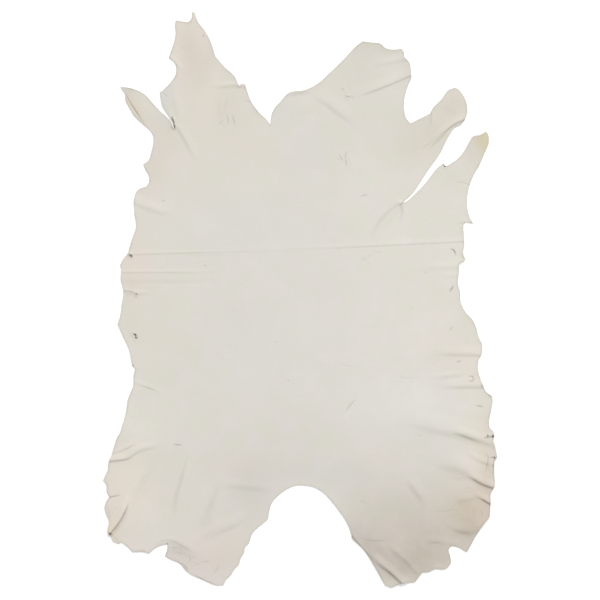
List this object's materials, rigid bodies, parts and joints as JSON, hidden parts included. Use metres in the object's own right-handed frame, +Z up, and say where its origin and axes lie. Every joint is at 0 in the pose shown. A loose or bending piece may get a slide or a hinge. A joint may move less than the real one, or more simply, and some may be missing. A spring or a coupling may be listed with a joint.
{
  "type": "leather hide",
  "caption": "Whole off-white leather hide, grain side up: one thin sheet whose uneven outline shows cheeks, legs and flanks, lying flat with storage creases and raised folds near its edges.",
  "frame": {"origin": "middle of the outline's bounding box, on the ground under the hide", "axes": "+X to the right of the picture across the hide, +Y along the back from the hind feet to the neck, +Z up, out of the grain side"},
  "size_m": [0.9844, 1.4373, 0.0097],
  "materials": {
    "grain_leather": "matte grain, off-white"
  },
  "bodies": {
    "root": {"hide": "grain_leather"}
  },
  "joints": []
}
